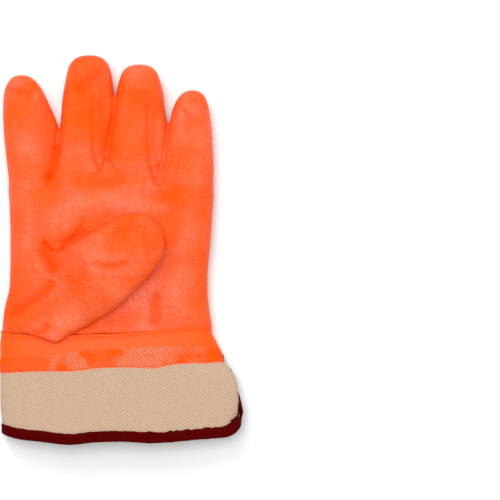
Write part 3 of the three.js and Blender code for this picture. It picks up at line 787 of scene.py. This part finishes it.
def even_finish(shader, roughness, specular, sheen=0.0):
    shader.inputs["Roughness"].default_value = roughness
    shader.inputs["Specular IOR Level"].default_value = specular
    shader.inputs["Sheen Weight"].default_value = sheen


def colour(red, green, blue):
    """Linear colour of an sRGB one given in 0 to 255."""
    parts = [c / 255 for c in (red, green, blue)]
    linear = [c / 12.92 if c <= 0.04045 else ((c + 0.055) / 1.055) ** 2.4 for c in parts]
    return (*linear, 1.0)


ORANGE = colour(249, 82, 4)
# Painted shade: the deeper orange that the crease mask puts into folds and grooves
ORANGE_PAINTED_SHADE = colour(250, 72, 0)
ORANGE_PALE = colour(249, 88, 10)
ORANGE_GLOSS = colour(250, 80, 0)
# Painted highlights: the pale colour of the glints and sparkle mixed into the coatings
ORANGE_PAINTED_GLINT = colour(255, 176, 150)
CANVAS_LIGHT = colour(229, 197, 169)
CANVAS_DARK = colour(148, 121, 98)
CANVAS_STAIN = colour(208, 170, 136)
BACKING_LIGHT = colour(205, 199, 190)
BACKING_DARK = colour(160, 150, 142)
MAROON = colour(106, 0, 0)
MAROON_DARK = colour(74, 0, 0)


def mask(tree, name):
    return add(tree, "ShaderNodeAttribute", attribute_name=name).outputs["Fac"]


def matte_coating():
    """Soft matte PVC with a fine pebble that breaks up its sheen, with painted shade in its creases and
    painted glints.
    """
    material, tree, shader, place = new_material("matte_coating")
    pebble = noise(tree, place, 1100.0, 2.0)
    grain = noise(tree, place, 420.0, 3.0)
    cloud = noise(tree, place, 45.0, 3.0)
    paler = remap(tree, cloud, 0.35, 0.7)
    base = mix_colour(tree, paler, ORANGE, ORANGE_PALE)
    # Painted shade: the crease mask darkens the colour in folds and between the fingers
    base = mix_colour(tree, mask(tree, "crease"), base, ORANGE_PAINTED_SHADE)
    link(remap(tree, grain, 0.3, 0.7, 0.34, 0.5), shader, "Roughness")
    sheen = remap(tree, noise(tree, place, 38.0, 4.0), 0.38, 0.64, 0.2, 0.9)
    dulled = maths(tree, "SUBTRACT", 1.0, times(tree, mask(tree, "dull"), 0.9))
    sheen = times(tree, sheen, dulled)
    link(sheen, shader, "Specular IOR Level", 0.35)
    # Painted highlights: pale glints mixed into the colour where the sheen is high
    painted_glints = remap(tree, noise(tree, place, 950.0, 2.0), 0.54, 0.72)
    painted_glints = times(tree, times(tree, painted_glints, sheen), 0.42)
    link(mix_colour(tree, painted_glints, base, ORANGE_PAINTED_GLINT), shader, "Base Color")
    soft = bump(tree, noise(tree, place, 150.0, 3.0), 0.0012, 0.6)
    fine = bump(tree, grain, 0.0012, 0.7, soft)
    link(bump(tree, pebble, 0.0007, 0.8, fine), shader, "Normal")
    return material


TWILL_PITCH = 0.0034
TWILL_LEAN = 2.0


def twill(tree, place, pitch=TWILL_PITCH, lean=TWILL_LEAN):
    """Diagonal ribs of a twill weave, from 0 to 1."""
    parts = add(tree, "ShaderNodeSeparateXYZ", {0: place}).outputs
    wobble = times(tree, noise(tree, place, 90.0, 2.0), 0.0006)
    slant = times(tree, parts["Y"], lean)
    level = maths(tree, "ADD", parts["X"], parts["Z"])
    run = maths(tree, "ADD", maths(tree, "SUBTRACT", level, slant), wobble)
    wave = maths(tree, "SINE", times(tree, run, TURN / pitch))
    return remap(tree, wave, -1.0, 1.0)


def gloss_coating():
    """The same PVC on the cuff: matte above, thin and shiny over the weave below, with painted sparkle
    and shade.
    """
    material, tree, shader, place = new_material("gloss_coating")
    gloss = mask(tree, "gloss")
    ribs = twill(tree, place)
    threads = noise(tree, place, 900.0, 2.0)
    patch = remap(tree, noise(tree, place, 75.0, 2.0), 0.36, 0.52)
    base = mix_colour(tree, gloss, ORANGE_PALE, ORANGE_GLOSS)
    # Painted shade: the crease mask darkens the colour in the groove under the wrist seam
    base = mix_colour(tree, mask(tree, "crease"), base, ORANGE_PAINTED_SHADE)
    shiny = times(tree, mask(tree, "shine"), patch)
    # Painted highlights: pale sparkle along the twill ribs, mixed into the colour where the strip shines;
    # it also raises the specular level
    spark = remap(tree, maths(tree, "ADD", ribs, noise(tree, place, 1300.0, 1.0)), 1.05, 1.5)
    spark = times(tree, spark, shiny)
    base = mix_colour(tree, times(tree, spark, 0.65), base, ORANGE_PAINTED_GLINT)
    link(base, shader, "Base Color")
    link(remap(tree, shiny, 0.0, 1.0, 0.5, 0.36), shader, "Roughness")
    dim = remap(tree, gloss, 0.0, 1.0, 0.24, 0.07)
    sheen = maths(tree, "ADD", dim, times(tree, spark, 0.5))
    link(sheen, shader, "Specular IOR Level", 0.25)
    soft = bump(tree, noise(tree, place, 160.0, 3.0), 0.0005, 0.5)
    fine = bump(tree, threads, 0.00014, 0.5, soft)
    link(bump(tree, times(tree, ribs, shiny), 0.00025, 0.7, fine), shader, "Normal")
    return material


def canvas(name, light, dark, stain):
    """Cotton twill."""
    material, tree, shader, place = new_material(name)
    ribs = twill(tree, place)
    threads = noise(tree, place, 1300.0, 2.0)
    slub = noise(tree, place, 300.0, 3.0)
    shade = maths(tree, "ADD", times(tree, ribs, 0.5), times(tree, threads, 0.5))
    base = mix_colour(tree, shade, dark, light)
    base = mix_colour(tree, remap(tree, slub, 0.45, 0.8, 0.0, 0.5), base, stain)
    base = mix_colour(tree, mask(tree, "bleed"), base, ORANGE_PALE)
    link(base, shader, "Base Color")
    even_finish(shader, 0.92, 0.2, 0.12)
    height = maths(tree, "ADD", ribs, times(tree, threads, 0.6))
    link(bump(tree, height, 0.00025, 0.8), shader, "Normal")
    return material


def binding_tape():
    """Woven cotton tape, dark red."""
    material, tree, shader, place = new_material("binding_tape")
    ribs = twill(tree, place, 0.0009, -0.2)
    fuzz = noise(tree, place, 1400.0, 3.0)
    wear = noise(tree, place, 260.0, 2.0)
    base = mix_colour(tree, times(tree, ribs, fuzz), MAROON_DARK, MAROON)
    base = mix_colour(tree, remap(tree, wear, 0.6, 0.85, 0.0, 0.25), base, colour(120, 12, 10))
    link(base, shader, "Base Color")
    even_finish(shader, 0.9, 0.04)
    link(bump(tree, maths(tree, "ADD", ribs, fuzz), 0.0002, 0.8), shader, "Normal")
    return material


def thread(name, tone):
    material, tree, shader, place = new_material(name)
    twist = noise(tree, place, 2200.0, 1.0)
    link(mix_colour(tree, twist, tone, colour(104, 8, 8)), shader, "Base Color")
    even_finish(shader, 0.9, 0.05)
    return material


MATTE = matte_coating()
GLOSS = gloss_coating()
CANVAS_OUT = canvas("canvas_face", CANVAS_LIGHT, CANVAS_DARK, CANVAS_STAIN)
CANVAS_IN = canvas("canvas_backing", BACKING_LIGHT, BACKING_DARK, BACKING_DARK)
TAPE = binding_tape()
LINING = canvas("lining", BACKING_LIGHT, BACKING_DARK, BACKING_DARK)
THREAD_RED = thread("red_thread", colour(86, 12, 14))


# Painted shade in the folds and in the grooves between the fingers
CREASE_SHADE = (0.6, 4.6)
CREASE_DARKNESS = 0.5
DARKEST_DEPTH = 2.8
PALM_LEVEL = 8.0


def crease_share(points):
    """How deep in a fold each point of the palm face or the back lies, from 0 to 1, for the painted shade
    there.
    """
    x, y, z = points.T
    palm = stroke_depth([one for one in PALM_FACE if one["depth"] > 0], x, y)
    back = stroke_depth(BACK_FACE, x, y)
    share = smoothstep(0.0, DARKEST_DEPTH, np.where(z > PALM_LEVEL, palm, back))
    for one in CREASE_STROKES:
        near = path_distance(x, y, one["path"])
        shade = CREASE_DARKNESS * (1 - smoothstep(*CREASE_SHADE, near))
        share = np.maximum(share, np.where(z > PALM_LEVEL, shade, 0))
    return share


# Patches of the palm face that catch less light: middle, half size and how dull
DULL = (
    (-16, 156, 24, 44, 1.0),
    (20, 150, 20, 40, 0.7),
    (-44, 128, 14, 26, 0.6),
    (54, 132, 16, 30, 0.35),
    (-44, 54, 13, 14, 0.8),
    (12, 66, 22, 14, 0.6),
    (-4, 106, 30, 10, 0.95),
    (38, 96, 18, 10, 0.85),
    (-58, 150, 15, 30, 0.3),
    (-38, 22, 14, 10, 0.6),
    (66, 50, 12, 70, 0.7),
    (-66, 60, 9, 60, 0.5),
)


def dull_share(points):
    """How little each point catches the light, from 0 to 1."""
    x, y = points[:, 0], points[:, 1]
    share = np.zeros(len(points))
    for middle_x, middle_y, half_x, half_y, dull in DULL:
        away = ((x - middle_x) / half_x) ** 2 + ((y - middle_y) / half_y) ** 2
        share = np.maximum(share, dull * np.exp(-away))
    return share


# How often each mesh is evened out, and by how much
EVEN_HAND = (4, 0.5)
EVEN_PRESSED = (1, 0.4)
EVEN_HOLLOW = (2, 0.5)


def build_hand():
    points, quads = hand_mesh((GRID_STEP, GRID_STEP, GRID_STEP_UP), 0.0, False)
    points = relax(points, quads, *EVEN_HAND)
    points = press_strokes(points, quads)
    points = relax(points, quads, *EVEN_PRESSED)
    points[:, 2] = np.maximum(points[:, 2], 0)
    hand = make_object("glove_hand", points, quads, [MATTE, LINING])
    inner, inner_quads = hand_mesh((LINING_STEP,) * 3, SHELL_WALL, True)
    inner = press_strokes(relax(inner, inner_quads, *EVEN_HOLLOW), inner_quads)
    tool = make_object("hollow", inner, inner_quads, [MATTE, LINING], np.ones(len(inner_quads)))
    cut_out(hand, tool)
    hand.data.shade_smooth()
    points = mesh_points(hand)
    # Painted shade: the crease mask darkens the colour in the folds; it also lowers their sheen
    painted_shade = crease_share(points)
    set_mask(hand, "crease", painted_shade)
    set_mask(hand, "dull", np.maximum(painted_shade, dull_share(points)))
    return hand


CUFF_COLUMNS = 420
BAND_ROWS = 44
CANVAS_ROWS = 60


def cuff_grid(angles, start, stop, rows):
    """Points and normals down the cuff between two lines round it."""
    share = np.linspace(0, 1, rows + 1)[:, None]
    distance = blend(start(angles), stop(angles), share)
    shut = distance <= SLIT_START
    turn = np.where(shut & (angles >= TURN), 0.0, angles)
    return cuff_middle(turn, distance), cuff_normal(turn, distance), distance, shut


def cuff_wall(points, normals, shut, inner, outer):
    """Closed wall between two offsets of the cuff's middle surface, open along the slit."""
    rows, columns = points.shape[:2]
    outside = points + normals * outer[..., None]
    inside = points + normals * inner[..., None]
    both = np.concatenate([outside.reshape(-1, 3), inside.reshape(-1, 3)])
    both[:, 2] = np.maximum(both[:, 2], 0)
    number = np.arange(rows * columns).reshape(rows, columns)
    number = np.where(shut & (np.arange(columns) == columns - 1), number[:, :1], number)
    back = number + rows * columns
    faces, kinds = [], []

    def quads(a, b, c, d, kind):
        faces.append(np.stack([a.ravel(), b.ravel(), c.ravel(), d.ravel()], axis=1))
        kinds.append(np.full(a.size, kind))

    quads(number[:-1, :-1], number[:-1, 1:], number[1:, 1:], number[1:, :-1], 0)
    quads(back[:-1, :-1], back[1:, :-1], back[1:, 1:], back[:-1, 1:], 1)
    quads(number[0, :-1], back[0, :-1], back[0, 1:], number[0, 1:], 0)
    quads(number[-1, :-1], number[-1, 1:], back[-1, 1:], back[-1, :-1], 0)
    gap = ~shut[1:, 0]
    for column, way in ((0, 1), (-1, -1)):
        ring = [number[:-1, column], number[1:, column], back[1:, column], back[:-1, column]]
        quads(*[one[gap] for one in ring[::way]], 0)
    used, faces = np.unique(np.concatenate(faces), return_inverse=True)
    return both[used], faces.reshape(-1, 4), np.concatenate(kinds), used


# Welt and groove under the wrist seam and the groove's shade: place below it and spread
WELT = (1.0, 0.7)
GROOVE = (2.7, 1.0)
GROOVE_DEPTH = 0.3
GROOVE_SHADE = (3.3, 1.2)
GROOVE_DARKNESS = 0.5
FRAY = 0.35
FRAY_SEED = 7
EDGE_THIN = 0.45
EDGE_TAPER = 12.0
COAT_LIFT = 0.12
GLOSS_WIDTH_BACK = 4.6
GLOSS_BLUR = 0.5
# Where across the palm face the glossy strip shines
SHINE_LEFT = (-46.0, -38.0, -16.0, -8.0)
SHINE_RIGHT = (0.0, 8.0, 60.0, 68.0)
UNLIT_SHINE = 0.2


def bell(value, middle, spread):
    return np.exp(-((value - middle) ** 2) / spread)


def window(value, start, full, fading, end):
    """1 from full to fading, and 0 before start and after end."""
    return smoothstep(start, full, value) * (1 - smoothstep(fading, end, value))


def build_band(angles):
    random = np.random.default_rng(FRAY_SEED)
    fray = FRAY * (random.random(len(angles)) - 0.5) * 2

    def stop(turn):
        return dip_distance(turn) + fray

    points, normals, distance, shut = cuff_grid(angles, seam_distance, stop, BAND_ROWS)
    below = distance - distance[:1]
    above = distance[-1:] - distance
    welt = WELT_HEIGHT * bell(below, *WELT) - GROOVE_DEPTH * bell(below, *GROOVE)
    thin = blend(EDGE_THIN, COAT_WALL + COAT_GAP, smoothstep(0.0, EDGE_TAPER, above))
    outer = CANVAS_WALL / 2 + thin + welt
    inner = np.full(distance.shape, CANVAS_WALL / 2 + COAT_LIFT)
    made, faces, _, used = cuff_wall(points, normals, shut, inner, outer)
    band = make_object("glove_band", made, faces, [GLOSS])
    on_back = angles > math.pi
    edge = curve(GLOSS_PALM, edge_place(angles))
    edge = np.where(on_back, dip_distance(angles) - GLOSS_WIDTH_BACK, edge)
    gloss = smoothstep(-GLOSS_BLUR, GLOSS_BLUR, distance - edge)
    x = points[..., 0]
    lit = np.where(on_back, 1.0, np.maximum(window(x, *SHINE_LEFT), window(x, *SHINE_RIGHT)))
    shine = gloss * blend(UNLIT_SHINE, 1.0, lit)
    # Painted shade in the groove under the wrist seam, kept in the crease mask
    dark = GROOVE_DARKNESS * bell(below, *GROOVE_SHADE)
    for name, values in (("gloss", gloss), ("shine", shine), ("crease", dark)):
        set_mask(band, name, np.tile(values.ravel(), 2)[used])
    return band


CANVAS_START = 1.0
BLEED_REACH = 1.3


def build_canvas(angles):
    """The canvas, its grid, its flat size and its area."""

    def start(turn):
        return seam_distance(turn) + CANVAS_START

    points, normals, distance, shut = cuff_grid(angles, start, hem_distance, CANVAS_ROWS)
    half = np.full(distance.shape, CANVAS_WALL / 2)
    made, faces, kinds, used = cuff_wall(points, normals, shut, -half, half)
    cloth = make_object("glove_cuff", made, faces, [CANVAS_OUT, CANVAS_IN], kinds)
    bleed = 1 - smoothstep(0.0, BLEED_REACH, distance - dip_distance(angles))
    set_mask(cloth, "bleed", np.concatenate([bleed.ravel(), np.zeros(bleed.size)])[used])
    across = np.linalg.norm(np.diff(points, axis=1), axis=2)
    down = np.linalg.norm(np.diff(points, axis=0), axis=2)
    size = (across.sum(axis=1).max() * MM, down.sum(axis=0).max() * MM)
    area = ((across[:-1] + across[1:]) / 2 * (down[:, :-1] + down[:, 1:]) / 2).sum()
    return cloth, (points, normals, distance), size, area * MM * MM


# Section of the tape round the canvas' edge: share of its width from the edge over the canvas,
# and offset from the canvas' middle surface
TAPE_WIDTH = 6.5
TAPE_START = 1.5
TAPE_START_PALM = 7.5
TAPE_SECTION = (
    (1.0, 1.55), (0.85, 1.95), (0.45, 2.0), (0.0, 1.95), (-0.13, 1.55), (-0.19, 0.8), (-0.20, 0.0),
    (-0.19, -0.8), (-0.13, -1.55), (0.0, -1.95), (0.45, -2.0), (0.85, -1.95), (1.0, -1.55),
    (0.97, -0.95), (0.5, -0.92), (-0.04, -0.9), (-0.04, 0.9), (0.5, 0.92), (0.97, 0.95),
)


def edge_path(points, normals, distance):
    """The canvas' edge: down the palm panel's free side, round the hem, up the back panel's."""
    below = distance[:, 0] - dip_distance(0.0)
    down = np.nonzero(below > TAPE_START_PALM)[0][:-1]
    up = np.nonzero(below > TAPE_START)[0][:-1][::-1]
    path = np.concatenate([points[down, 0], points[-1], points[up, -1]])
    turned = np.concatenate([normals[down, 0], normals[-1], normals[up, -1]])
    return path, turned


def read_path(places, run, values):
    """Vectors along a path, read at places on its run."""
    return np.stack([np.interp(places, run, values[:, k]) for k in range(3)], axis=-1)


def even_path(path, turned, spacing):
    """The same path with evenly spaced points."""
    run = np.concatenate([[0], np.cumsum(np.linalg.norm(np.diff(path, axis=0), axis=1))])
    places = np.linspace(0, run[-1], int(run[-1] / spacing))
    return read_path(places, run, path), unit(read_path(places, run, turned)), places


def smooth_path(values, passes):
    for _ in range(passes):
        middle = (values[:-2] + 2 * values[1:-1] + values[2:]) / 4
        values = np.concatenate([values[:1], middle, values[-1:]])
    return values


TAPE_SPACING = 0.8
PATH_SMOOTHING = 6
NORMAL_SMOOTHING = 10
# How the tape's width varies: slowly, roughly where the hem is torn and elsewhere, and at the
# free corner
TAPE_WANDER = 0.5
TORN_ROUGHNESS = 1.3
WOVEN_ROUGHNESS = 0.35
ROUGH_STEPS = (3, 22)
ROUGH_SEED = 11
RAGGED_START = 68.0
TORN_LEFT = 25.0
TORN_RIGHT = 80.0
PALM_HEM_LEVEL = 10.0
CORNER_WIDENING = 1.6
CORNER_PLACE = -62.0
CORNER_REACH = 7.0


def tape_frame(points, normals, distance):
    """The tape's path, the canvas' normals there, the way in from the edge, and the run."""
    path, turned, places = even_path(*edge_path(points, normals, distance), TAPE_SPACING)
    path = smooth_path(path, PATH_SMOOTHING)
    turned = smooth_path(turned, NORMAL_SMOOTHING)
    inward = unit(np.cross(unit(np.gradient(path, axis=0)), turned))
    return path, turned, inward, places


def build_tape(tape):
    path, turned, inward, places = tape
    x, y, z = path.T
    random = np.random.default_rng(ROUGH_SEED)
    ragged, slow = (
        np.interp(places, places[::step], random.random(len(places[::step])) - 0.5)
        for step in ROUGH_STEPS
    )
    torn = (z > PALM_HEM_LEVEL) & (y < -RAGGED_START) & (x > TORN_LEFT) & (x < TORN_RIGHT)
    corner = np.exp(-(((y - CORNER_PLACE) / CORNER_REACH) ** 2)) * (x > TORN_RIGHT)
    ragged = ragged * np.where(torn, TORN_ROUGHNESS, WOVEN_ROUGHNESS)
    width = TAPE_WIDTH + TAPE_WANDER * slow + ragged + CORNER_WIDENING * corner
    rings = [path + inward * (inset * width)[:, None] + turned * out for inset, out in TAPE_SECTION]
    rings = np.stack(rings, axis=1)
    rings[..., 2] = np.maximum(rings[..., 2], 0)
    count, sides = rings.shape[:2]
    number = np.arange(count * sides).reshape(count, sides)
    after = np.roll(number, -1, axis=1)
    quads = np.stack([number[:-1], after[:-1], after[1:], number[1:]], axis=-1).reshape(-1, 4)
    faces = quads.tolist()
    faces.append(number[0][::-1].tolist())
    faces.append(number[-1].tolist())
    return make_object("glove_binding", rings.reshape(-1, 3), faces, [TAPE])


STITCH_LENGTH = 2.4
STITCH_PITCH = 3.4
STITCH_MARGIN = 4.0
STITCH_RADIUS = 0.26
STITCH_SIDES = 6
STITCH_INSET = 4.9
STITCH_HEIGHT = 2.0
STITCH_FLOOR = 0.7
STITCH_TOP = -64.0
# Section of a stitch: share of its length, how far it rises there and how thick it is
STITCH_SHAPE = ((0.0, -0.35, 0.5), (0.18, 0.1, 0.9), (0.5, 0.2, 1.0), (0.82, 0.1, 0.9), (1.0, -0.35, 0.5))


def stitch_mesh(start, stop, side, up):
    """One stitch: a short bar with sunk ends."""
    ring = []
    for share, lift, thick in STITCH_SHAPE:
        centre = blend(start, stop, share) + up * lift
        reach = STITCH_RADIUS * thick
        for k in range(STITCH_SIDES):
            turn = TURN * k / STITCH_SIDES
            ring.append(centre + side * (reach * math.cos(turn)) + up * (reach * math.sin(turn)))
    faces = []
    for row in range(0, len(ring) - STITCH_SIDES, STITCH_SIDES):
        for k in range(STITCH_SIDES):
            a, b = row + k, row + (k + 1) % STITCH_SIDES
            faces.append([a, b, b + STITCH_SIDES, a + STITCH_SIDES])
    faces.append(list(range(STITCH_SIDES))[::-1])
    faces.append(list(range(len(ring) - STITCH_SIDES, len(ring))))
    return ring, faces


def build_stitches(tape):
    """Rows of stitches along both faces of the tape."""
    *vectors, places = tape
    points, faces = [], []
    for face in (1, -1):
        for at in np.arange(STITCH_MARGIN, places[-1] - STITCH_MARGIN, STITCH_PITCH):
            ends = []
            for place in (at, at + STITCH_LENGTH):
                middle, up, side = (read_path(place, places, one) for one in vectors)
                up = up * face
                ends.append((middle + side * STITCH_INSET + up * STITCH_HEIGHT, up, side))
            low = min(end[0][2] for end in ends) < STITCH_FLOOR
            on_free_edge = min(end[0][1] for end in ends) > STITCH_TOP
            if low or on_free_edge:
                continue
            ring, quads = stitch_mesh(ends[0][0], ends[1][0], ends[0][2], ends[0][1])
            base = len(points)
            points.extend(ring)
            faces.extend([[base + i for i in quad] for quad in quads])
    return make_object("binding_stitches", np.array(points), faces, [THREAD_RED])


hand = build_hand()
angles = np.linspace(0, TURN, CUFF_COLUMNS + 1)
band = build_band(angles)
cloth, cloth_grid, cloth_size, cloth_area = build_canvas(angles)
tape = tape_frame(*cloth_grid)
binding = build_tape(tape)
stitches = build_stitches(tape)

for piece, node, slot in (
    (hand, "hand_shell", "matte_coating"),
    (band, "coated_band", "gloss_coating"),
    (cloth, "cuff_canvas", "canvas"),
    (binding, "cuff_binding", "binding_tape"),
):
    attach(piece, "root")
    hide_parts(node)
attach(stitches, "root")


# Floor, light and camera
FLOOR = 6.0
FLOOR_DROP = 0.0002
WORLD_STRENGTH = 0.42


def floor_material():
    material, _, shader, _ = new_material("floor")
    shader.inputs["Base Color"].default_value = (0.93, 0.93, 0.93, 1.0)
    even_finish(shader, 0.9, 0.1)
    return material


def area_light(name, place, size, power):
    """Round light at a place, aimed at the origin."""
    data = bpy.data.lights.new(name, "AREA")
    data.shape = "DISK"
    data.size = size
    data.energy = power
    lamp = new_object(name, data)
    lamp.location = place
    lamp.rotation_euler = (-Vector(place)).to_track_quat("-Z", "Y").to_euler()


floor_mesh = bpy.data.meshes.new("floor")
floor_corners = [(-FLOOR, -FLOOR, 0), (FLOOR, -FLOOR, 0), (FLOOR, FLOOR, 0), (-FLOOR, FLOOR, 0)]
floor_mesh.from_pydata(floor_corners, [], [(0, 1, 2, 3)])
floor_mesh.materials.append(floor_material())
floor = new_object("floor", floor_mesh)
floor.location.z = -FLOOR_DROP

area_light("overhead", (-0.1, 0.3, 2.3), 1.5, 32.0)
area_light("key", (-0.35, 1.0, 1.1), 0.8, 8.0)
area_light("fill", (0.9, -0.6, 1.2), 1.2, 3.0)

world = bpy.data.worlds.new("studio")
world.use_nodes = True
background = world.node_tree.nodes["Background"]
background.inputs["Color"].default_value = (1, 1, 1, 1)
background.inputs["Strength"].default_value = WORLD_STRENGTH
bpy.context.scene.world = world
bpy.context.scene.view_settings.view_transform = "Standard"

# The photograph is seen from straight above. Its middle and its width, in the frame.
VIEW_MIDDLE = (0.0901, -0.00075)
VIEW_WIDTH = 0.35
VIEW_LEVEL = 0.011
CAMERA_HEIGHT = 2.0
SENSOR = 36.0
camera_data = bpy.data.cameras.new("camera")
camera_data.sensor_width = SENSOR
camera_data.lens = SENSOR * (CAMERA_HEIGHT - VIEW_LEVEL) / VIEW_WIDTH
camera_data.clip_end = 20.0
camera = new_object("camera", camera_data)
camera.location = (*VIEW_MIDDLE, CAMERA_HEIGHT)
bpy.context.scene.camera = camera
